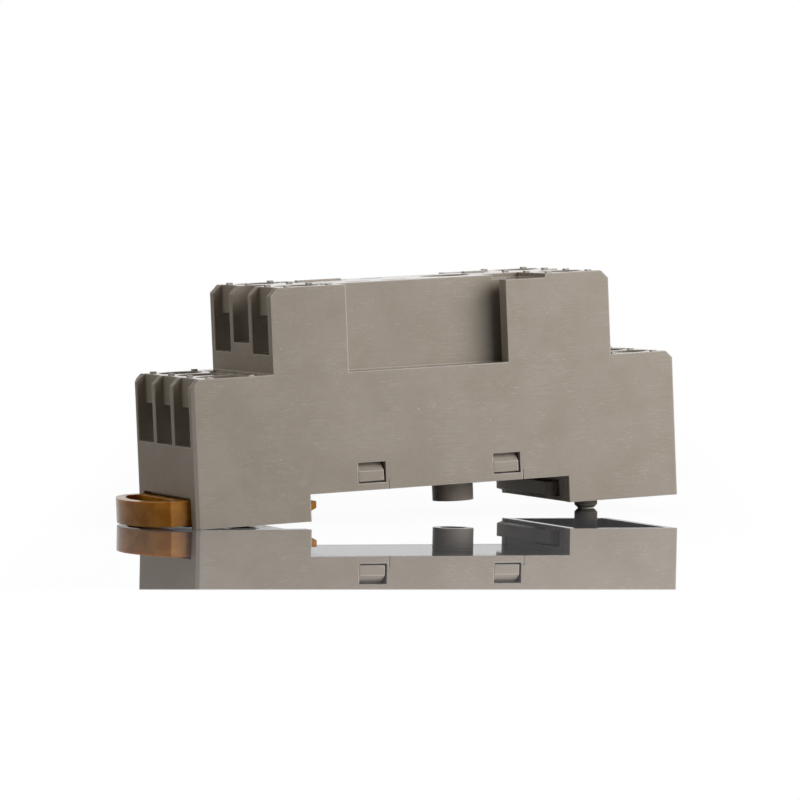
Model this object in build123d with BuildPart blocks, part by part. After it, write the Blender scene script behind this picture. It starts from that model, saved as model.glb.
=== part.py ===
"""Two-pole relay socket for a 35 mm top-hat rail, with finger-safe screw terminals.

Millimetres. X runs along the socket, Y along the rail, Z up. The origin is the middle of
the rail seat: the rail's flanges bear on Z = 0, and the two feet hang below it. Every
piece sits where it does in the assembled socket, with the terminal screws tightened.
"""
from build123d import *
import os

# ---- rail and feet ----
rail_gap = 35.5            # between the inner walls of the two feet
clip_foot_length = 15.2    # foot that houses the sliding rail clip
peg_foot_length = 15.3     # foot that carries the locating peg
foot_depth = 3.4           # feet below the rail seat
flange_space = 1.05        # height kept for the rail's flange
hook_height = 2.0
hook_reach = 0.75          # fixed hook under the rail
hook_slope = 0.3           # rise of the hook's sloping underside
hook_inset = 5.9           # straight part of the hook starts this far from the near side
core_inset = 3.4           # opening at the hook's near end that its mould core leaves
core_width = 2.2
core_top = 0.7
core_floor = 2.85
core_slot_width = 5.35     # narrow slot over the hook, next to the opening
core_slot_height = 0.5
side_wall_step = 0.12      # side walls of the peg foot stand proud of its inner wall
peg_radius = 1.5
peg_drop = 1.9             # peg below the feet
peg_chamfer = 0.45
peg_inset = 7.65           # peg axis from the end of its foot
peg_y = 1.1                # the peg stands off the centre line

# ---- case ----
body_width = 21.5
lower_height = 15.2        # top of the lower tiers
upper_height = 26.0        # top of the upper tier
clip_end_step = 10.9       # length of the lower tier at the clip end
peg_end_step = 8.78        # length of the lower tier at the peg end
tier_chamfer = 1.0
corner_round = 0.3         # upright corner edges at the peg end
corner_bevel_length = 0.4  # bevelled upright edges at the clip end
corner_bevel_width = 0.5
wall = 1.2
running_gap = 0.1          # round pieces that drop in or slide
cavity_height = 10.5       # cavity above the rail

# ---- terminal positions ----
row_pitch = 6.7            # three positions across the width
slot_width = 5.6
slot_depth = 1.25
lower_floor = 6.72         # floor of the wire slots
upper_floor = 17.62
wire_hole_height = 4.8
wire_hole_lip = 0.8        # wall that the wire hole is cut in
screw_inset = 5.05         # screw axis from the end face
chamber_length = 7.85      # end face to the back of the clamping chamber
clamp_travel = 4.2
blank_well_depth = 6.0
chamber_clearance = 0.2    # over the raised clamp plate
shank_well_step = 0.3      # shank well narrower than the screw access
shank_well_clearance = 0.4
relief_floor = 18.9        # half-round relief between the upper positions
relief_depth = 3.6
nib_height = 0.18
nib_length = 0.7
nib_width = 0.6
nib_shift = 0.25           # nibs stand a little inwards of the screw access

# ---- screw, clamp plate and contact strip ----
shank_radius = 1.45
shank_length = 6.6
thread_gap = 0.05
head_radius = 2.45
head_height = 2.0
head_chamfer = 0.45
driver_slot_width = 0.7
driver_slot_depth = 1.0
cross_slot_length = 3.4
clamp_thickness = 1.0
clamp_chamfer = 0.3
strip_thickness = 0.8
collar_height = 0.8
collar_wall = 0.7
riser_width = 2.4
run_width = 2.8            # strip between its plate and its riser
crossing_level = 2.2       # underside of the strip that passes below the others
crossing_inset = 1.5       # its outer edge from the cavity's wall

# ---- relay seat ----
seat_width = 13.3          # block between the two side recesses
recess_start = -11.95
recess_length = 21.9
recess_floor = 15.0
groove_skin = 2.05         # wall outside the hold-down groove
groove_depth = 2.0
notch_length = 5.5         # finger notch at the end of the relay
notch_width = 8.6
notch_depth = 0.55
rib_height = 0.15          # low locating ribs at the far edge of the seat
rib_width = 1.0
rib_spans = ((-11.95, -5.9), (11.4, 14.3))
pin_row_spacing = 7.5
coil_column = 12.5
contact_columns = (-12.5, -7.5, -2.5)
pin_slot_length = 3.0
pin_slot_width = 1.2
blade_thickness = 0.5
leaf_thickness = 0.3
leaf_height = 5.6
leaf_top_gap = 0.6         # leaves below the roof of the contact chamber
pinch_share = 0.7          # height of the pinch up the leaf

# ---- screw fixing through the middle ----
fixing_x = 6.1
fixing_radius = 1.7
sleeve_radius = 2.65
sleeve_drop = 2.9
well_radius = 3.2
well_wall = 1.0
spigot_top = 3.8
spigot_overlap = 0.6

# ---- base cover and its latches ----
cover_thickness = 1.6
window_width = 3.75
window_height = 2.6
window_sill = 0.9
window_columns = (-9.35, 9.15)
slit_width = 0.1           # mould line beside each window, down to the underside
slit_depth = 0.3
slit_offset = 0.3
slit_rise = 0.4            # above the window's sill
latch_width = 3.4
latch_side_gap = 0.12
latch_sill_gap = 0.22
latch_top_gap = 0.05
latch_ramp = 1.05          # height of the lead-in ramp
latch_recess = 0.15        # nose behind the case's face
latch_rise = 1.0           # arm above the window

# ---- rail clip ----
clip_reach = 5.95          # pull tab beyond the end face
clip_bow = 1.8             # rise of the tab's bowed front
clip_corner_reach = 1.55   # bevelled corners of the tab
clip_corner_width = 1.5
clip_nose_reach = 1.6      # nose beyond the foot's inner wall
nose_clearance = 0.2       # from the nose to the base cover, along the rail seat
clip_nose_face = 0.85
clip_nose_ramp = 2.15
clip_top_gap = 0.1
clip_width = 17.0
tab_top = 0.1              # the tab stands a little above the clip's body
mouth_length = 1.0         # relief over the clip where it leaves the case
mouth_height = 0.4
clip_bottom_gap = 0.4
clip_side_gap = 0.15
clip_side_bar = 1.7
clip_rim = 1.2
finger_rim = 1.25          # rim of the tab in front of the finger hole
clip_travel = 2.5
finger_hole_inset = 1.15   # from the end face to the finger hole
finger_hole_width = 13.8
hole_round = 0.9
spring_window_inset = 2.7  # from the end face to the window round the bow spring
spring_thickness = 0.8
spring_bow = 2.0
clip_block_length = 2.45   # solid end that carries the nose
abutment_thickness = 1.0
abutment_gap = 0.2
abutment_height = 2.9
tongue_width = 0.5
tongue_height = 1.0
tongue_level = -2.1        # underside of the tongues

# ---- worked out from the above ----
half_width = body_width / 2
left_end = -rail_gap / 2 - clip_foot_length
right_end = rail_gap / 2 + peg_foot_length
upper_left = left_end + clip_end_step
upper_right = right_end - peg_end_step
inner_half = half_width - wall
cavity_start = clip_nose_reach + nose_clearance - rail_gap / 2
cavity_end = rail_gap / 2 - wall
seat_half = seat_width / 2
contact_cavity_half = seat_half - wall
recess_end = recess_start + recess_length
access_radius = slot_width / 2
chamber_height = clamp_travel + clamp_thickness + chamber_clearance
shank_well_radius = access_radius - shank_well_step
shank_well_depth = shank_length - clamp_thickness + shank_well_clearance
pin_row = pin_row_spacing / 2
riser_inner = pin_row + blade_thickness / 2 + leaf_thickness
riser_outer = riser_inner + strip_thickness
leaf_top = upper_height - wall - leaf_top_gap
contact_cavity_length = coil_column + riser_width / 2 + running_gap
peg_x = right_end - peg_inset
foot_wall_x = -rail_gap / 2 - wall
clip_half_width = clip_width / 2
channel_half = clip_half_width + clip_side_gap
clip_bottom = clip_bottom_gap - foot_depth
clip_shoulder = foot_wall_x - running_gap
clip_tip = left_end - clip_reach
clip_corner_y = clip_half_width - clip_corner_width
clip_front_radius = (clip_corner_y ** 2 + clip_bow ** 2) / (2 * clip_bow)
finger_half = finger_hole_width / 2
finger_radius = clip_front_radius - finger_rim
finger_corner_x = clip_tip + clip_front_radius - (finger_radius ** 2 - finger_half ** 2) ** 0.5
spring_window_end = clip_shoulder - clip_block_length
spring_window_start = left_end + spring_window_inset
abutment_x = spring_window_start + abutment_gap
spring_apex = abutment_x + abutment_thickness + clip_travel + abutment_gap


def block(x_limits, y_limits, z_limits, mode=Mode.SUBTRACT):
    """Cut or add a cuboid between pairs of limits, in the part being built."""
    middle = [sum(limits) / 2 for limits in (x_limits, y_limits, z_limits)]
    size = [abs(limits[1] - limits[0]) for limits in (x_limits, y_limits, z_limits)]
    with Locations(tuple(middle)):
        Box(*size, mode=mode)


def post(x, y, radius, z_limits, mode=Mode.SUBTRACT):
    """Cut or add an upright round between two heights."""
    with Locations((x, y, sum(z_limits) / 2)):
        Cylinder(radius, z_limits[1] - z_limits[0], mode=mode)


def cut_wire_slot(end_x, inward, y, floor, top):
    """Open recess in the end face, from its floor to the top of the tier."""
    block((end_x - inward, end_x + inward * slot_depth),
          (y - access_radius, y + access_radius), (floor, top + 1))


def cut_terminal_position(end_x, inward, y, floor, top):
    """Wire slot and hole, clamping chamber, screw access and shank well of one terminal."""
    y_limits = (y - access_radius, y + access_radius)
    lip_back = end_x + inward * (slot_depth + wire_hole_lip)
    screw_x = end_x + inward * screw_inset
    cut_wire_slot(end_x, inward, y, floor, top)
    block((end_x, lip_back), y_limits, (floor, floor + wire_hole_height))
    block((lip_back, end_x + inward * chamber_length), y_limits,
          (floor - strip_thickness, floor + chamber_height))
    post(screw_x, y, access_radius, (floor + chamber_height, top + 1))
    post(screw_x, y, shank_well_radius, (floor - shank_well_depth, floor))


def add_nibs(end_x, inward, top):
    """Low nibs on the walls on both sides of each screw access."""
    for wall_y in (-half_width + wall / 2, -row_pitch / 2, row_pitch / 2, half_width - wall / 2):
        for offset in (-access_radius, access_radius):
            x = end_x + inward * (screw_inset + offset + nib_shift)
            block((x - nib_length / 2, x + nib_length / 2),
                  (wall_y - nib_width / 2, wall_y + nib_width / 2),
                  (top - nib_height, top + nib_height), Mode.ADD)


def save(piece, label):
    """Label a finished piece and write it to its own file."""
    piece.part.label = label
    export_step(piece.part, f"parts/{label}.step")


os.makedirs("parts", exist_ok=True)

# ---- case ----
with BuildPart() as housing:
    # stepped side profile, cut away over the rail
    with BuildSketch(Plane.XZ) as profile:
        with BuildLine():
            Polyline(
                (left_end, -foot_depth),
                (left_end, lower_height),
                (upper_left, lower_height),
                (upper_left, upper_height),
                (upper_right, upper_height),
                (upper_right, lower_height),
                (right_end, lower_height),
                (right_end, -foot_depth),
                (rail_gap / 2, -foot_depth),
                (rail_gap / 2, 0),
                (-rail_gap / 2, 0),
                (-rail_gap / 2, -foot_depth),
                close=True,
            )
        make_face()
        tier_corners = [profile.vertices().sort_by_distance(corner)[0]
                        for corner in ((left_end, lower_height), (upper_left, upper_height),
                                       (upper_right, upper_height), (right_end, lower_height))]
        chamfer(tier_corners, tier_chamfer)
    extrude(amount=half_width, both=True)
    clip_end_face = housing.faces().filter_by(Axis.X).sort_by(Axis.X)[0]
    clip_end_edges = clip_end_face.edges().filter_by(Axis.Z)
    chamfer(clip_end_edges, corner_bevel_width, corner_bevel_length, reference=clip_end_face)
    fillet(housing.edges().filter_by(Axis.Z).group_by(Axis.X)[-1], corner_round)

    # side recesses for the hold-down clip, each with a groove behind the skin of its end wall
    for side in (-1, 1):
        block((recess_start, recess_end), (side * seat_half, side * (half_width + 1)),
              (recess_floor, upper_height + 1))
        block((recess_end, recess_end + groove_depth), (side * seat_half, side * (half_width - groove_skin)),
              (recess_floor, upper_height + 1))
    block((recess_end, recess_end + notch_length), (-half_width - 1, notch_width - half_width),
          (upper_height - notch_depth, upper_height + 1))
    for span in rib_spans:
        block(span, (seat_half - rib_width, seat_half),
              (upper_height - rib_height, upper_height + rib_height), Mode.ADD)

    # cavity above the rail, and the contact cavity under the relay
    block((cavity_start, cavity_end), (-inner_half, inner_half), (-1, cavity_height))
    block((-contact_cavity_length, contact_cavity_length), (-contact_cavity_half, contact_cavity_half),
          (cavity_height - 1, upper_height - wall))

    # five terminals at the clip end and three at the peg end
    for y in (-row_pitch, 0, row_pitch):
        cut_terminal_position(left_end, 1, y, lower_floor, lower_height)
        cut_terminal_position(right_end, -1, y, lower_floor, lower_height)
    for y in (-row_pitch, row_pitch):
        cut_terminal_position(upper_left, 1, y, upper_floor, upper_height)
        # the same positions at the peg end are blank: a slot and a blind well
        cut_wire_slot(upper_right, -1, y, upper_floor, upper_height)
        post(upper_right - screw_inset, y, access_radius,
             (upper_height - blank_well_depth, upper_height + 1))
    for end_x, inward in ((upper_left, 1), (upper_right, -1)):
        relief_x = end_x + inward * (relief_depth - access_radius)
        block((end_x - inward, relief_x), (-access_radius, access_radius), (relief_floor, upper_height + 1))
        post(relief_x, 0, access_radius, (relief_floor, upper_height + 1))
    for end_x, inward, top in ((left_end, 1, lower_height), (upper_left, 1, upper_height),
                               (upper_right, -1, upper_height), (right_end, -1, lower_height)):
        add_nibs(end_x, inward, top)

    # passages for the contact strips, from the clamping chambers to the cavity
    lower_strip = (lower_floor - strip_thickness, lower_floor + running_gap)
    upper_strip = (upper_floor - strip_thickness, upper_floor + running_gap)
    middle_band = (-run_width / 2 - running_gap, run_width / 2 + running_gap)
    right_back = right_end - chamber_length
    for side in (-1, 1):
        side_band = (side * (riser_inner - running_gap), side * (riser_inner + run_width + running_gap))
        block((left_end + chamber_length, cavity_start), side_band, lower_strip)
        block((right_back, cavity_end), side_band, lower_strip)
        block((upper_left + chamber_length, -contact_cavity_length),
              (side_band[0], side * contact_cavity_half), upper_strip)
    block((left_end + chamber_length, cavity_start), middle_band, lower_strip)
    block((right_back - strip_thickness - 2 * running_gap, right_back), middle_band,
          (crossing_level, lower_strip[1]))
    block((cavity_end, right_back), middle_band,
          (crossing_level, crossing_level + strip_thickness + running_gap))

    # relay pin slots through the seat
    with BuildSketch(Plane.XY.offset(upper_height)):
        with Locations(*[(x, y) for x in (*contact_columns, coil_column) for y in (-pin_row, pin_row)]):
            Rectangle(pin_slot_length, pin_slot_width)
    extrude(amount=-wall, mode=Mode.SUBTRACT)

    # well for the fixing screw, down to the base cover's spigot
    well_foot = spigot_top - spigot_overlap
    post(fixing_x, 0, well_radius + well_wall, (well_foot, upper_height - wall), Mode.ADD)
    post(fixing_x, 0, well_radius, (well_foot, upper_height + 1))

    # latch windows, two in each side wall, each with a mould line beside it
    for column in window_columns:
        window_end = column + window_width / 2
        for side in (-1, 1):
            side_wall = (side * (inner_half - 1), side * (half_width + 1))
            block((column - window_width / 2, window_end), side_wall,
                  (window_sill, window_sill + window_height))
            block((window_end + slit_offset, window_end + slit_offset + slit_width),
                  (side * (half_width - slit_depth), side * (half_width + 1)), (-1, window_sill + slit_rise))

    # clip foot: a channel open below and at both ends, with guide grooves and the spring's abutment
    block((left_end - 1, foot_wall_x), (-channel_half, channel_half), (-foot_depth - 1, 0))
    block((left_end - 1, left_end + mouth_length), (-channel_half, channel_half), (-1, mouth_height))
    block((foot_wall_x, -rail_gap / 2), (-channel_half, channel_half),
          (-foot_depth - 1, running_gap - flange_space))
    groove = (tongue_level - running_gap, tongue_level + tongue_height + running_gap)
    block((left_end + corner_bevel_length + wall, foot_wall_x),
          (-channel_half - tongue_width, channel_half + tongue_width), groove)
    block((abutment_x, abutment_x + abutment_thickness), (-channel_half / 2, channel_half / 2),
          (-abutment_height, 0), Mode.ADD)

    # peg foot: a box open below, with the rail hook and the locating peg
    block((rail_gap / 2 + wall, right_end - wall), (-inner_half, inner_half), (-foot_depth - 1, 0))
    block((rail_gap / 2 - 1, rail_gap / 2 + side_wall_step), (-inner_half, inner_half), (-foot_depth - 1, 0))
    core_y = core_inset - half_width
    core_slot_y = core_y + core_width
    core_x = (rail_gap / 2 - 1, rail_gap / 2 + wall)
    block(core_x, (core_y, core_slot_y), (-core_floor, -core_top))
    block(core_x, (core_slot_y, core_slot_y + core_slot_width), (-core_top - core_slot_height, -core_top))
    hook_y = hook_inset - half_width
    with BuildSketch(Plane.XZ.offset(-hook_y)):
        with BuildLine():
            Polyline(
                (rail_gap / 2 + wall / 2, -flange_space),
                (rail_gap / 2 - hook_reach, -flange_space),
                (rail_gap / 2 - hook_reach, hook_slope - flange_space - hook_height),
                (rail_gap / 2, -flange_space - hook_height),
                (rail_gap / 2 + wall / 2, -flange_space - hook_height),
                close=True,
            )
        make_face()
    extrude(amount=hook_y - half_width)
    post(rail_gap / 2, hook_y, hook_reach, (-flange_space - hook_height, -flange_space), Mode.ADD)
    post(peg_x, peg_y, peg_radius, (-foot_depth - peg_drop, 0), Mode.ADD)
    chamfer(housing.edges().filter_by(GeomType.CIRCLE).sort_by(Axis.Z)[0], peg_chamfer)
save(housing, "housing")

# ---- base cover with its four latches, the fixing sleeve and the spigot ----
with BuildPart() as base_cover:
    cover_half_width = inner_half - running_gap
    with BuildSketch():
        with Locations(((cavity_start + cavity_end) / 2, 0)):
            Rectangle(cavity_end - cavity_start - 2 * running_gap, 2 * cover_half_width)
    extrude(amount=cover_thickness)
    window_top = window_sill + window_height
    for column in window_columns:
        latch_start = column - window_width / 2 + latch_side_gap
        for side in (-1, 1):
            with BuildSketch(Plane.YZ.offset(latch_start)):
                with BuildLine():
                    Polyline(
                        (side * (cover_half_width - wall), 0),
                        (side * (cover_half_width - wall), window_top + latch_rise),
                        (side * cover_half_width, window_top + latch_rise),
                        (side * cover_half_width, window_top - latch_top_gap),
                        (side * (half_width - latch_recess), window_top - latch_top_gap - latch_ramp),
                        (side * (half_width - latch_recess), window_sill + latch_sill_gap),
                        (side * cover_half_width, window_sill + latch_sill_gap),
                        (side * cover_half_width, 0),
                        close=True,
                    )
                make_face()
            extrude(amount=latch_width)
    post(fixing_x, 0, sleeve_radius, (-sleeve_drop, 0), Mode.ADD)
    post(fixing_x, 0, well_radius - running_gap, (0, spigot_top), Mode.ADD)
    post(fixing_x, 0, fixing_radius, (-sleeve_drop - 1, spigot_top + 1))
save(base_cover, "base_cover")

# ---- rail clip: pull tab, guide tongues, bow spring and nose in one moulding ----
with BuildPart() as rail_clip:
    with BuildSketch(Plane.XY.offset(clip_bottom)) as clip_plan:
        with BuildLine():
            Polyline(
                (clip_tip + clip_bow, -clip_corner_y),
                (clip_tip + clip_bow + clip_corner_reach, -clip_half_width),
                (clip_shoulder, -clip_half_width),
                (clip_shoulder, clip_half_width),
                (clip_tip + clip_bow + clip_corner_reach, clip_half_width),
                (clip_tip + clip_bow, clip_corner_y),
            )
            ThreePointArc((clip_tip + clip_bow, clip_corner_y), (clip_tip, 0),
                          (clip_tip + clip_bow, -clip_corner_y))
        make_face()
        # finger hole, its front parallel to the bow of the tab
        with BuildSketch(mode=Mode.PRIVATE) as finger_hole:
            with BuildLine():
                Polyline(
                    (finger_corner_x, -finger_half),
                    (left_end - finger_hole_inset, -finger_half),
                    (left_end - finger_hole_inset, finger_half),
                    (finger_corner_x, finger_half),
                )
                ThreePointArc((finger_corner_x, finger_half), (clip_tip + finger_rim, 0),
                              (finger_corner_x, -finger_half))
            make_face()
            fillet(finger_hole.vertices(), hole_round)
        add(finger_hole.sketch, mode=Mode.SUBTRACT)
        window_half = clip_half_width - clip_side_bar
        with Locations(((spring_window_start + spring_window_end) / 2, 0)):
            Rectangle(spring_window_end - spring_window_start, 2 * window_half, mode=Mode.SUBTRACT)
        with BuildLine():
            outer_bow = ThreePointArc((spring_apex + spring_bow, -window_half), (spring_apex, 0),
                                      (spring_apex + spring_bow, window_half))
            inner_bow = ThreePointArc((spring_apex + spring_bow + spring_thickness, -window_half),
                                      (spring_apex + spring_thickness, 0),
                                      (spring_apex + spring_bow + spring_thickness, window_half))
            Line(outer_bow @ 0, inner_bow @ 0)
            Line(outer_bow @ 1, inner_bow @ 1)
        make_face()
    extrude(amount=tab_top - clip_bottom)
    block((left_end - running_gap, spring_window_end + clip_block_length), (-half_width, half_width),
          (-clip_top_gap, tab_top + 1))
    with BuildSketch(Plane.XZ):
        with BuildLine():
            Polyline(
                (clip_shoulder - clip_rim, clip_bottom),
                (clip_nose_reach - clip_nose_ramp - rail_gap / 2, clip_bottom),
                (clip_nose_reach - rail_gap / 2, -flange_space - clip_nose_face),
                (clip_nose_reach - rail_gap / 2, -flange_space),
                (clip_shoulder - clip_rim, -flange_space),
                close=True,
            )
        make_face()
    extrude(amount=clip_half_width, both=True)
    tongue_start = left_end + corner_bevel_length + wall + clip_travel + running_gap
    for side in (-1, 1):
        block((tongue_start, clip_shoulder - clip_rim),
              (side * (clip_half_width - clip_rim), side * (clip_half_width + tongue_width)),
              (tongue_level, tongue_level + tongue_height), Mode.ADD)
save(rail_clip, "rail_clip")


def terminal_screw(x, y, floor):
    """Pan-head terminal screw with a straight slot crossed by a shorter one."""
    seat = floor + clamp_thickness
    with BuildPart() as screw:
        with BuildSketch(Plane.XZ.offset(-y)):
            with BuildLine():
                Polyline(
                    (x, seat - shank_length),
                    (x + shank_radius, seat - shank_length),
                    (x + shank_radius, seat),
                    (x + head_radius, seat),
                    (x + head_radius, seat + head_height - head_chamfer),
                    (x + head_radius - head_chamfer, seat + head_height),
                    (x, seat + head_height),
                    close=True,
                )
            make_face()
        revolve(axis=Axis((x, y, 0), (0, 0, 1)))
        slot_floor = seat + head_height - driver_slot_depth
        slots = ((2 * head_radius + 1, driver_slot_width), (driver_slot_width, cross_slot_length))
        for length, width in slots:
            block((x - length / 2, x + length / 2), (y - width / 2, y + width / 2),
                  (slot_floor, seat + head_height + 1))
    return screw


def clamp_plate(x, y, floor):
    """Square pressure plate held under the screw's head."""
    with BuildPart() as plate:
        with BuildSketch(Plane.XY.offset(floor)) as outline:
            with Locations((x, y)):
                Rectangle(slot_width - 2 * running_gap, slot_width - 2 * running_gap)
                chamfer(outline.vertices(), clamp_chamfer)
                Circle(shank_radius + thread_gap, mode=Mode.SUBTRACT)
        extrude(amount=clamp_thickness)
    return plate


def contact_strip(end_x, inward, y, floor, column, side):
    """Plate under the clamp, with a collar for the thread, a run and a riser beside the relay pin."""
    level = floor - strip_thickness
    screw_x = end_x + inward * screw_inset
    back = end_x + inward * (chamber_length - running_gap)
    riser_ends = (column - riser_width / 2, column + riser_width / 2)
    far_edge = riser_ends[1] if inward > 0 else riser_ends[0]
    crossing = y == 0 and inward < 0
    run_level = crossing_level if crossing else level
    plate_half = access_radius - running_gap
    with BuildPart() as strip:
        block((end_x + inward * (slot_depth + wire_hole_lip + running_gap), back),
              (y - plate_half, y + plate_half), (level, floor), Mode.ADD)
        post(screw_x, y, shank_radius + thread_gap + collar_wall, (level - collar_height, level), Mode.ADD)
        if crossing:
            bend = end_x + inward * (chamber_length + running_gap)
            bend_inner = bend + inward * strip_thickness
            turn = cavity_end - running_gap
            outer = inner_half - crossing_inset
            block((back - inward, bend_inner), (-run_width / 2, run_width / 2), (level, floor), Mode.ADD)
            block((bend, bend_inner), (-run_width / 2, run_width / 2), (crossing_level, floor), Mode.ADD)
            with BuildSketch(Plane.XY.offset(crossing_level)):
                with BuildLine():
                    Polyline(
                        (bend, -run_width / 2),
                        (turn - run_width, -run_width / 2),
                        (turn - run_width, outer - run_width),
                        (riser_ends[1], outer - run_width),
                        (riser_ends[1], riser_inner),
                        (riser_ends[0], riser_inner),
                        (riser_ends[0], outer),
                        (turn, outer),
                        (turn, run_width / 2),
                        (bend, run_width / 2),
                        close=True,
                    )
                make_face()
            extrude(amount=strip_thickness)
        elif y == 0:
            block((back - 1, far_edge), (-run_width / 2, run_width / 2), (level, floor), Mode.ADD)
            block(riser_ends, (0, side * riser_outer), (level, floor), Mode.ADD)
        else:
            run_outer = riser_inner + run_width
            if floor == upper_floor:
                run_outer = contact_cavity_half - running_gap
            block((back - inward, far_edge),
                  (side * riser_inner, side * run_outer), (level, floor), Mode.ADD)
        block(riser_ends, (side * riser_inner, side * riser_outer), (run_level, leaf_top), Mode.ADD)
        post(screw_x, y, shank_radius + thread_gap, (level - collar_height - 1, floor + 1))
    return strip


def receptacle(column, side):
    """Sprung receptacle for one relay blade: a straight leaf on the riser and a pinched leaf."""
    grip = blade_thickness / 2
    base = leaf_top - leaf_height
    pinch = base + leaf_height * pinch_share
    with BuildPart() as clip:
        with BuildSketch(Plane.YZ.offset(column - riser_width / 2)):
            with BuildLine():
                Polyline(
                    (side * (pin_row + grip + leaf_thickness), leaf_top),
                    (side * (pin_row + grip + leaf_thickness), base),
                    (side * (pin_row - grip - leaf_thickness), base),
                    (side * (pin_row - grip / 2 - leaf_thickness), pinch),
                    (side * (pin_row - 2 * grip - leaf_thickness), leaf_top),
                    (side * (pin_row - 2 * grip), leaf_top),
                    (side * (pin_row - grip / 2), pinch),
                    (side * (pin_row - grip), base + leaf_thickness),
                    (side * (pin_row + grip), base + leaf_thickness),
                    (side * (pin_row + grip), leaf_top),
                    close=True,
                )
            make_face()
        extrude(amount=riser_width)
    return clip


# ---- the eight terminals: end face, direction inwards, row, slot floor, relay column and pin row ----
terminals = {
    "14": (upper_left, 1, -row_pitch, upper_floor, contact_columns[0], -1),
    "24": (upper_left, 1, row_pitch, upper_floor, contact_columns[0], 1),
    "11": (left_end, 1, -row_pitch, lower_floor, contact_columns[1], -1),
    "21": (left_end, 1, row_pitch, lower_floor, contact_columns[1], 1),
    "12": (left_end, 1, 0, lower_floor, contact_columns[2], -1),
    "22": (right_end, -1, 0, lower_floor, contact_columns[2], 1),
    "a1": (right_end, -1, -row_pitch, lower_floor, coil_column, -1),
    "a2": (right_end, -1, row_pitch, lower_floor, coil_column, 1),
}
for number, (end_x, inward, y, floor, column, side) in terminals.items():
    screw_x = end_x + inward * screw_inset
    save(contact_strip(end_x, inward, y, floor, column, side), f"contact_strip_{number}")
    save(receptacle(column, side), f"receptacle_{number}")
    save(clamp_plate(screw_x, y, floor), f"clamp_plate_{number}")
    save(terminal_screw(screw_x, y, floor), f"screw_{number}")
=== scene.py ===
"""Looks for the relay socket: materials, printed numbers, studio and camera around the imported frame."""
import math
import bpy
from mathutils import Matrix, Vector


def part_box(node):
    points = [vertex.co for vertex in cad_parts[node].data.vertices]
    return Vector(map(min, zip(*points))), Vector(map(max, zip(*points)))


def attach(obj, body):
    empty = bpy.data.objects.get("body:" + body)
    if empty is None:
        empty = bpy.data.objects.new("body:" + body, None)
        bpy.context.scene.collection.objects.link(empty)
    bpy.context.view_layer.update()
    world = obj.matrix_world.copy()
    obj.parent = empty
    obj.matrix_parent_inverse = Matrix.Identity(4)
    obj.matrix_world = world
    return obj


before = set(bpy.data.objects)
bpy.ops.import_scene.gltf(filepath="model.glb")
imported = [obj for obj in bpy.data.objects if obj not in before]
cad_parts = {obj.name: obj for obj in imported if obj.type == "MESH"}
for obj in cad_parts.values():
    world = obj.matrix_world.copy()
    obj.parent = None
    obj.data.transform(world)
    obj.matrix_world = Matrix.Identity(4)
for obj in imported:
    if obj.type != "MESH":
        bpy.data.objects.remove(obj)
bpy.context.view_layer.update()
MM = 0.001
WHITE = (1, 1, 1, 1)
NUMBERS = ("11", "12", "14", "21", "22", "24", "a1", "a2")
UPPER_NUMBERS = ("14", "24")         # terminals on the upper tier
HOUSING_LOW, HOUSING_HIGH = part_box("housing")
HALF_WIDTH = HOUSING_HIGH.y / MM


def screw_axis(number):
    """Middle of a terminal's screw."""
    low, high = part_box("screw_" + number)
    return (low + high) / 2


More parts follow.
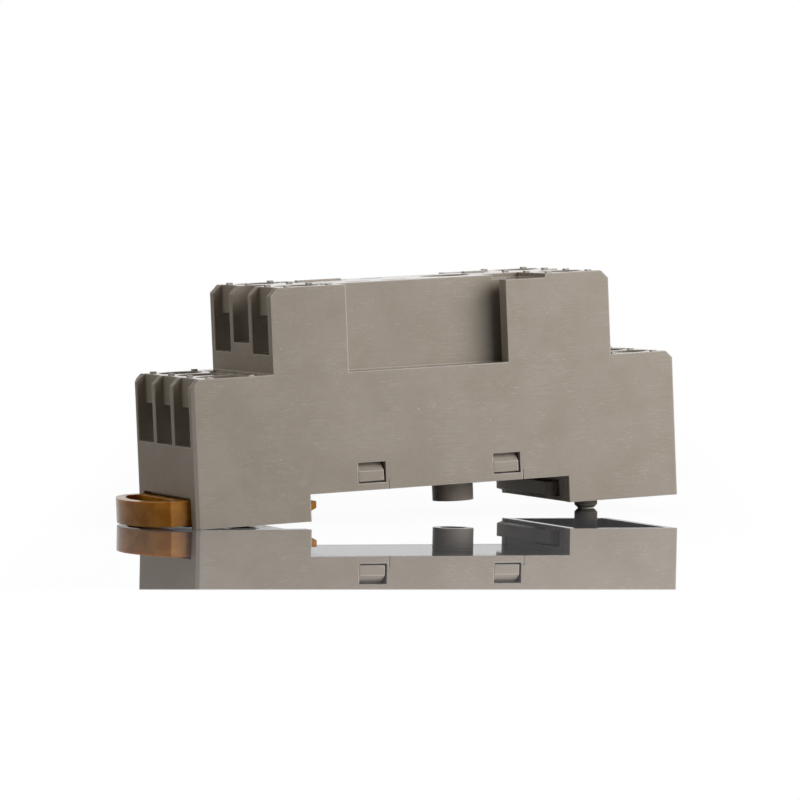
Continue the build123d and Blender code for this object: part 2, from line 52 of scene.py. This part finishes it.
# ---------------------------------------------------------------- node helpers
class Nodes:
    """A small wrapper that empties a node tree, then adds shader nodes and links them in one call."""

    def __init__(self, tree):
        self.tree = tree
        self.tree.nodes.clear()

    def feed(self, socket, value):
        """Link a value to a socket, or set it there where it is constant."""
        if isinstance(value, bpy.types.NodeSocket):
            self.tree.links.new(value, socket)
        else:
            socket.default_value = value

    def add(self, kind, inputs=None, **settings):
        node = self.tree.nodes.new(kind)
        for key, value in settings.items():
            setattr(node, key, value)
        for key, value in (inputs or {}).items():
            self.feed(node.inputs[key], value)
        return node

    def math(self, operation, a, b=0.0):
        return self.add("ShaderNodeMath", {0: a, 1: b}, operation=operation).outputs[0]

    def times(self, a, b):
        return self.math("MULTIPLY", a, b)

    def plus(self, a, b):
        return self.math("ADD", a, b)

    def absolute(self, value):
        return self.math("ABSOLUTE", value)

    def spread(self, value, low, high, to_low=0.0, to_high=1.0):
        """Map a value smoothly from one range to another."""
        node = self.add("ShaderNodeMapRange", {"Value": value, "From Min": low, "From Max": high,
                                               "To Min": to_low, "To Max": to_high},
                        interpolation_type="SMOOTHSTEP")
        return node.outputs["Result"]

    def scaled(self, coords, x, y, z):
        return self.add("ShaderNodeVectorMath", {0: coords, 1: (x, y, z)}, operation="MULTIPLY").outputs[0]

    def along(self, vector, direction):
        """How far a vector reaches in a direction."""
        node = self.add("ShaderNodeVectorMath", {0: vector, 1: direction}, operation="DOT_PRODUCT")
        return node.outputs["Value"]

    def length(self, vector):
        return self.add("ShaderNodeVectorMath", {0: vector}, operation="LENGTH").outputs["Value"]

    def parts(self, vector):
        """The X, Y and Z sockets of a vector."""
        return self.add("ShaderNodeSeparateXYZ", {0: vector}).outputs

    def coords(self, kind):
        return self.add("ShaderNodeTexCoord").outputs[kind]

    def noise(self, vector, scale=1.0, detail=3.0, roughness=0.5, distortion=0.0):
        node = self.add("ShaderNodeTexNoise", {"Vector": vector, "Scale": scale, "Detail": detail,
                                               "Roughness": roughness, "Distortion": distortion})
        return node.outputs["Fac"]

    def mix(self, factor, a, b):
        """Mix two colours. Sockets 6, 7 and 2 are the node's colour ones."""
        return self.add("ShaderNodeMix", {0: factor, 6: a, 7: b}, data_type="RGBA").outputs[2]

    def layered(self, tone, layers):
        """Lay colours over a tone, each through its own mask."""
        for mask, colour in layers:
            tone = self.mix(mask, tone, colour)
        return tone

    def blend(self, factor, a, b):
        """Mix two shaders."""
        return self.add("ShaderNodeMixShader", {0: factor, 1: a.outputs[0], 2: b.outputs[0]})

    def bump(self, height, strength, distance, normal):
        return self.add("ShaderNodeBump", {"Height": height, "Strength": strength,
                                           "Distance": distance * MM, "Normal": normal}).outputs[0]

    def soft_edges(self, radius, samples=6):
        """Rounded-edge normal, and a mask that is 1 on the edges."""
        rounded = self.add("ShaderNodeBevel", {"Radius": radius * MM}, samples=samples).outputs[0]
        flat = self.add("ShaderNodeNewGeometry").outputs["True Normal"]
        return rounded, self.spread(self.along(rounded, flat), 0.998, 0.93)

    def in_sight(self):
        """1 for what is seen, also in a reflection or through something clear, and 0 for other light."""
        path = self.add("ShaderNodeLightPath").outputs
        mirrored = self.math("MAXIMUM", path["Is Glossy Ray"], path["Is Transmission Ray"])
        return self.math("MAXIMUM", path["Is Camera Ray"], mirrored)


def new_material(name, display):
    """A material with its node helper, its shader's inputs and its object coordinates in millimetres."""
    material = bpy.data.materials.new(name)
    material.use_nodes = True
    material.diffuse_color = (*display, 1)
    nodes = Nodes(material.node_tree)
    shader = nodes.add("ShaderNodeBsdfPrincipled")
    nodes.add("ShaderNodeOutputMaterial", {"Surface": shader.outputs[0]})
    return material, nodes, shader.inputs, nodes.scaled(nodes.coords("Object"), 1 / MM, 1 / MM, 1 / MM)


# ---------------------------------------------------------------- materials
CASE_DISPLAY = (0.300, 0.261, 0.217)
CASE_DARK, CASE_LIGHT = (0.286, 0.248, 0.203, 1), (0.316, 0.276, 0.232, 1)
CASE_PATCH = (0.335, 0.292, 0.246, 1)
CASE_STREAK = (0.41, 0.375, 0.33, 1)
CASE_SCUFF = (0.50, 0.47, 0.43, 1)
CASE_GROOVE = (0.23, 0.205, 0.165, 1)
CASE_GRAIN = (0.255, 0.221, 0.182, 1)
CASE_SPECK = (0.16, 0.12, 0.09, 1)
# edge colour: partly rubbed wear, partly a painted highlight along the edges
CASE_EDGE_WEAR_AND_HIGHLIGHT = (0.58, 0.54, 0.49, 1)
# painted highlight colour for the bevelled uprights
CASE_CORNER_HIGHLIGHT = (0.52, 0.475, 0.42, 1)
CORNER_HIGHLIGHT_START, CORNER_HIGHLIGHT_FULL = 0.8, 0.6      # painted highlight on the bevelled uprights, from here to here, in from the sides
LEVEL_ROUGHNESS = 0.07                    # faces that look up or down are polished


def case_material(name, rough_low, rough_high):
    """Warm grey moulding: cloudy, brushed and speckled, with scuffs, rubbed edges that also carry a painted
    highlight, a painted highlight on the bevelled uprights, and polished levels.
    """
    material, n, shader, mm = new_material(name, CASE_DISPLAY)
    rounded, edge = n.soft_edges(0.22)
    clouds = n.noise(mm, 0.13, 3, 0.5)
    patches = n.noise(mm, 0.6, 4, 0.65, 0.6)
    brushed = n.noise(n.scaled(mm, 0.7, 0.7, 9.0), 1.0, 3, 0.65, 0.15)
    brushed_areas = n.noise(mm, 0.20, 2, 0.5)
    scratched = n.noise(n.scaled(mm, 0.9, 0.9, 4.6), 1.0, 3, 0.6, 1.8)
    scratched_areas = n.noise(mm, 0.35, 2)
    grain = n.noise(mm, 4.2, 3, 0.7)
    speck = n.noise(mm, 2.1, 2, 0.5)
    streak = n.times(n.spread(brushed, 0.50, 0.72), n.spread(brushed_areas, 0.40, 0.60))
    scuff = n.times(n.spread(scratched, 0.61, 0.70), n.spread(scratched_areas, 0.48, 0.62))
    facing = n.parts(n.coords("Normal"))
    slant = n.absolute(n.times(facing["X"], facing["Y"]))
    side = n.absolute(n.parts(mm)["Y"])
    # painted highlight: bevelled uprights near the sides are made paler, standing in for light falling on
    # their rounding
    corner_highlight = n.times(n.spread(slant, 0.30, 0.42),
                     n.spread(side, HALF_WIDTH - CORNER_HIGHLIGHT_START, HALF_WIDTH - CORNER_HIGHLIGHT_FULL))
    tone = n.layered(n.mix(n.spread(clouds, 0.35, 0.65), CASE_DARK, CASE_LIGHT), (
        (n.spread(patches, 0.40, 0.66, 0, 0.30), CASE_PATCH),
        (n.times(streak, 0.45), CASE_STREAK),
        (n.times(scuff, 0.60), CASE_SCUFF),
        (n.times(n.spread(brushed, 0.42, 0.30), 0.35), CASE_GROOVE),
        (n.spread(grain, 0.34, 0.66, 0, 0.28), CASE_GRAIN),
        (n.spread(speck, 0.72, 0.80, 0, 0.35), CASE_SPECK),
        # edges made paler: partly rubbed wear, partly a painted highlight where the edges catch the light
        (n.times(edge, 0.65), CASE_EDGE_WEAR_AND_HIGHLIGHT),
        (n.times(corner_highlight, 0.80), CASE_CORNER_HIGHLIGHT),
    ))
    worn = n.spread(patches, 0.3, 0.7, rough_low, rough_high)
    level = n.spread(n.absolute(facing["Z"]), 0.75, 0.95)
    not_level = n.math("SUBTRACT", 1.0, level)
    height = n.plus(n.times(grain, 0.6), n.times(brushed, 0.8))
    n.feed(shader["Base Color"], tone)
    n.feed(shader["Roughness"], n.plus(n.times(worn, not_level), n.times(level, LEVEL_ROUGHNESS)))
    n.feed(shader["Specular IOR Level"], 0.04)
    n.feed(shader["Normal"], n.bump(height, 0.25, 0.008, rounded))
    return material


CLIP_DISPLAY = (0.42, 0.17, 0.012)
CLIP_DARK, CLIP_LIGHT = (0.31, 0.118, 0.008, 1), (0.39, 0.170, 0.018, 1)
CLIP_EDGE = (0.52, 0.29, 0.09, 1)


def clip_material():
    """Deep amber moulding, translucent, with soft flow marks and rubbed edges."""
    material, n, shader, mm = new_material("amber_clip", CLIP_DISPLAY)
    rounded, edge = n.soft_edges(0.14)
    flow = n.noise(n.scaled(mm, 0.25, 0.4, 0.7), 1.0, 3, 0.5, 0.5)
    tone = n.mix(n.spread(flow, 0.36, 0.64), CLIP_DARK, CLIP_LIGHT)
    n.feed(shader["Base Color"], n.mix(n.times(edge, 0.30), tone, CLIP_EDGE))
    n.feed(shader["Roughness"], n.spread(flow, 0.3, 0.7, 0.14, 0.22))
    n.feed(shader["Specular IOR Level"], 0.07)
    n.feed(shader["Subsurface Weight"], 0.60)
    n.feed(shader["Subsurface Radius"], (1.0, 0.42, 0.08))
    n.feed(shader["Subsurface Scale"], 1.6 * MM)
    n.feed(shader["Normal"], n.bump(flow, 0.12, 0.02, rounded))
    return material


def turned_rings(n, mm, axis, stain):
    """Fine rings about a screw's axis, and its stains, as a height."""
    offset = n.add("ShaderNodeVectorMath", {0: mm, 1: axis}, operation="SUBTRACT").outputs[0]
    radius = n.length(n.scaled(offset, 1, 1, 0))
    rings = n.math("SINE", n.times(radius, 30.0))
    return n.plus(n.times(rings, 0.25), n.times(stain, 0.8))


def metal_material(name, light, dark, rough, axis=None):
    """Stamped or plated metal with handling marks. A screw, given its axis, has turned rings for grain."""
    material, n, shader, mm = new_material(name, light)
    rounded, edge = n.soft_edges(0.08, 4)
    stain = n.noise(mm, 0.9, 4, 0.6, 0.4)
    rubbed = [min(1, part * 1.2) for part in light]
    tone = n.mix(n.spread(stain, 0.36, 0.66), (*light, 1), (*dark, 1))
    if axis:
        height = turned_rings(n, mm, axis, stain)
    else:
        height = n.noise(n.scaled(mm, 14, 1.2, 14), 1.0, 2, 0.5)
    n.feed(shader["Base Color"], n.mix(n.times(edge, 0.3), tone, (*rubbed, 1)))
    n.feed(shader["Metallic"], 1.0)
    n.feed(shader["Roughness"], n.spread(stain, 0.3, 0.7, rough - 0.06, rough + 0.1))
    n.feed(shader["Normal"], n.bump(height, 0.3, 0.012, rounded))
    return material


INK_DISPLAY = (0.05, 0.045, 0.04)
INK_DARK, INK_WORN = (0.045, 0.04, 0.036, 1), (0.12, 0.105, 0.085, 1)


def ink_material():
    """Dark print, worn in places."""
    material, n, shader, mm = new_material("dark_print", INK_DISPLAY)
    worn = n.noise(mm, 3.0, 3, 0.6)
    plain_normal = n.add("ShaderNodeNewGeometry").outputs["Normal"]
    n.feed(shader["Base Color"], n.mix(n.spread(worn, 0.35, 0.7), INK_DARK, INK_WORN))
    n.feed(shader["Roughness"], 0.55)
    n.feed(shader["Normal"], n.bump(worn, 0.2, 0.01, plain_normal))
    return material


def dress(node, material):
    """Give a CAD node one material."""
    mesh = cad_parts[node].data
    if not mesh.materials:
        mesh.materials.append(material)
    for index in range(len(mesh.materials)):
        mesh.materials[index] = material


SCREW_LIGHT, SCREW_DARK = (0.54, 0.53, 0.50), (0.38, 0.37, 0.345)
dress("housing", case_material("moulded_case", 0.38, 0.50))
dress("base_cover", case_material("moulded_base", 0.16, 0.24))
dress("rail_clip", clip_material())
brass = metal_material("stamped_brass", (0.74, 0.58, 0.30), (0.50, 0.36, 0.17), 0.30)
bronze = metal_material("spring_bronze", (0.72, 0.47, 0.27), (0.48, 0.29, 0.15), 0.32)
zinc = metal_material("zinc_plate", (0.66, 0.65, 0.62), (0.47, 0.46, 0.43), 0.36)
for number in NUMBERS:
    axis_mm = tuple(screw_axis(number) / MM)
    dress("contact_strip_" + number, brass)
    dress("receptacle_" + number, bronze)
    dress("clamp_plate_" + number, zinc)
    dress("screw_" + number, metal_material("plated_screw_" + number, SCREW_LIGHT, SCREW_DARK, 0.32, axis_mm))

# ---------------------------------------------------------------- printed numbers
LOWER_TOP = 15.2 * MM                # top faces of the two tiers
UPPER_TOP = 26.0 * MM
INK_THICKNESS = 0.012 * MM           # half of it: the print is extruded both ways from its middle
CAPITALS = 0.7                       # share of the font's size that its capitals take up
CLIP_END_HEIGHT = 1.5
CLIP_END_LOWER_SHIFT = 4.15          # from the screw's axis towards the middle of the socket
CLIP_END_UPPER_SHIFT = 3.6
PEG_END_HEIGHT = 0.62                # small, on the narrow strip outside the screw holes
PEG_END_SHIFT = 3.22                 # from the screw's axis towards the end of the socket
INK = ink_material()


def print_number(number, x, y, z, height, turn):
    """A number in thin dark print on an upward face, as a mesh of its own."""
    curve = bpy.data.curves.new("print_" + number, "FONT")
    curve.body = number.upper()
    curve.align_x = "CENTER"
    curve.align_y = "CENTER"
    curve.size = height * MM / CAPITALS
    curve.extrude = INK_THICKNESS
    curve.resolution_u = 4
    text = bpy.data.objects.new("text_" + number, curve)
    bpy.context.scene.collection.objects.link(text)
    text.matrix_world = Matrix.Translation((x, y, z)) @ Matrix.Rotation(math.radians(turn), 4, "Z")
    bpy.context.view_layer.update()
    mesh = bpy.data.meshes.new_from_object(text.evaluated_get(bpy.context.evaluated_depsgraph_get()))
    mesh.transform(text.matrix_world)
    bpy.data.objects.remove(text)
    piece = bpy.data.objects.new("print_" + number, mesh)
    bpy.context.scene.collection.objects.link(piece)
    mesh.materials.clear()
    mesh.materials.append(INK)
    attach(piece, "case")


for number in NUMBERS:
    axis = screw_axis(number)
    upper = number in UPPER_NUMBERS
    z = (UPPER_TOP if upper else LOWER_TOP) + INK_THICKNESS
    if axis.x < 0:
        shift = CLIP_END_UPPER_SHIFT if upper else CLIP_END_LOWER_SHIFT
        print_number(number, axis.x + shift * MM, axis.y, z, CLIP_END_HEIGHT, -90)
    else:
        print_number(number, axis.x + PEG_END_SHIFT * MM, axis.y, z, PEG_END_HEIGHT, 90)

# ---------------------------------------------------------------- viewpoint
AZIMUTH, ELEVATION, ROLL = math.radians(22.523), math.radians(3.472), math.radians(-2.273)
DISTANCE = 0.6266
AIM = Vector((-0.735 * MM, -0.04 * MM, 10.37 * MM))
LENS, SENSOR = 220.1, 36.0
ahead = Vector((math.sin(AZIMUTH) * math.cos(ELEVATION), math.cos(AZIMUTH) * math.cos(ELEVATION),
                -math.sin(ELEVATION)))
right = Vector((math.cos(AZIMUTH), -math.sin(AZIMUTH), 0))
up = right.cross(ahead)
tilted_right = math.cos(ROLL) * right + math.sin(ROLL) * up
tilted_up = math.cos(ROLL) * up - math.sin(ROLL) * right
place = AIM - DISTANCE * ahead

# ---------------------------------------------------------------- table
SLOPE = 1.9 / 57.30                  # the socket leans on its peg, so the table falls away under it
FOOT_Z = -3.4 * MM
TABLE_RADIUS = 4.0
TABLE_SIDES = 96
BOARD_FRONT = 109.8 * MM             # from the socket's origin forward to the glossy board's front edge
BOARD_TURN = math.radians(61.42)     # the way that the board runs back from that edge, in plan
BOARD_ROUND = 0.9 * MM               # half the width of the edge itself
BOARD_HALF = 37 * MM                 # to each side, before the board fades out
BOARD_FADE = 14 * MM
FAR_FROM, FAR_TO = 0.16, 0.60        # further off, the board fades out all round
BOARD_COLOUR = (0.84, 0.86, 0.93, 1)
BOARD_ROUGHNESS = 0.008
BOUNCE_COLOUR = (0.24, 0.235, 0.23, 1)    # what the table throws back at the socket


def round_table():
    """A disc that slopes down towards the peg end."""
    corners = []
    for index in range(TABLE_SIDES):
        angle = 2 * math.pi * index / TABLE_SIDES
        x, y = TABLE_RADIUS * math.cos(angle), TABLE_RADIUS * math.sin(angle)
        corners.append((x, y, FOOT_Z - (x - HOUSING_LOW.x) * SLOPE))
    table = bpy.data.meshes.new("table")
    table.from_pydata(corners, [], [tuple(range(TABLE_SIDES))])
    return table


def table_material():
    """White table with a glossy board under the socket, mirror-like at a low angle and pale from above."""
    material = bpy.data.materials.new("white_table")
    material.use_nodes = True
    n = Nodes(material.node_tree)
    board = n.add("ShaderNodeBsdfDiffuse", {"Color": BOARD_COLOUR})
    mirror = n.add("ShaderNodeBsdfAnisotropic", {"Color": WHITE, "Roughness": BOARD_ROUGHNESS})
    grazing = n.add("ShaderNodeLayerWeight", {"Blend": 0.5}).outputs["Facing"]
    gloss = n.blend(n.spread(grazing, 0.45, 0.93, 0.06, 0.955), board, mirror)
    dull = n.add("ShaderNodeBsdfDiffuse", {"Color": BOUNCE_COLOUR})
    glow = n.add("ShaderNodeEmission", {"Color": WHITE, "Strength": 1.0})
    position = n.coords("Object")
    seen = n.in_sight()
    backward = (math.cos(BOARD_TURN), math.sin(BOARD_TURN), 0)
    front = n.spread(n.along(position, backward), BOARD_ROUND - BOARD_FRONT, -BOARD_ROUND - BOARD_FRONT)
    beside = n.spread(n.absolute(n.along(position, tuple(right))), BOARD_HALF, BOARD_HALF + BOARD_FADE)
    far = n.spread(n.length(position), FAR_FROM, FAR_TO)
    off_board = n.math("MAXIMUM", n.math("MAXIMUM", far, front), beside)
    surface = n.blend(n.times(off_board, seen), n.blend(seen, dull, gloss), glow)
    n.add("ShaderNodeOutputMaterial", {"Surface": surface.outputs[0]})
    return material


floor = bpy.data.objects.new("floor", round_table())
bpy.context.scene.collection.objects.link(floor)
floor.data.materials.append(table_material())

# ---------------------------------------------------------------- light and surroundings
AMBIENT_COLOUR = (1, 0.96, 0.92, 1)
AMBIENT = 0.07
MIDDLE = Vector((0, 0, 0.01))        # the lamps are turned to it

world = bpy.data.worlds.new("studio")
bpy.context.scene.world = world
world.use_nodes = True
n = Nodes(world.node_tree)
backdrop = n.add("ShaderNodeBackground", {"Color": WHITE, "Strength": 1.0})
ambient = n.add("ShaderNodeBackground", {"Color": AMBIENT_COLOUR, "Strength": AMBIENT})
surroundings = n.blend(n.in_sight(), ambient, backdrop)
n.add("ShaderNodeOutputWorld", {"Surface": surroundings.outputs[0]})


def soft_light(name, location, size, power, colour=(1, 1, 1)):
    """A square lamp turned to the middle of the socket."""
    lamp = bpy.data.lights.new(name, "AREA")
    lamp.shape = "SQUARE"
    lamp.size = size
    lamp.energy = power
    lamp.color = colour
    item = bpy.data.objects.new(name, lamp)
    bpy.context.scene.collection.objects.link(item)
    item.location = location
    item.rotation_euler = (MIDDLE - Vector(location)).to_track_quat("-Z", "Y").to_euler()


soft_light("key_light", (0.13, -0.215, 0.07), 0.26, 1.14, colour=(0.98, 0.985, 1))
soft_light("fill_light", (-0.45, 0.02, 0.16), 0.30, 0.42, colour=(1, 0.97, 0.90))
soft_light("top_light", (0.05, 0.30, 0.55), 0.60, 2.0)

# ---------------------------------------------------------------- camera
lens = bpy.data.cameras.new("camera")
lens.sensor_width = SENSOR
lens.lens = LENS
lens.clip_start = 0.01
lens.clip_end = 50.0
camera = bpy.data.objects.new("camera", lens)
bpy.context.scene.collection.objects.link(camera)
camera.matrix_world = Matrix((
    (tilted_right.x, tilted_up.x, -ahead.x, place.x),
    (tilted_right.y, tilted_up.y, -ahead.y, place.y),
    (tilted_right.z, tilted_up.z, -ahead.z, place.z),
    (0, 0, 0, 1),
))
bpy.context.scene.camera = camera
bpy.context.scene.view_settings.view_transform = "Standard"
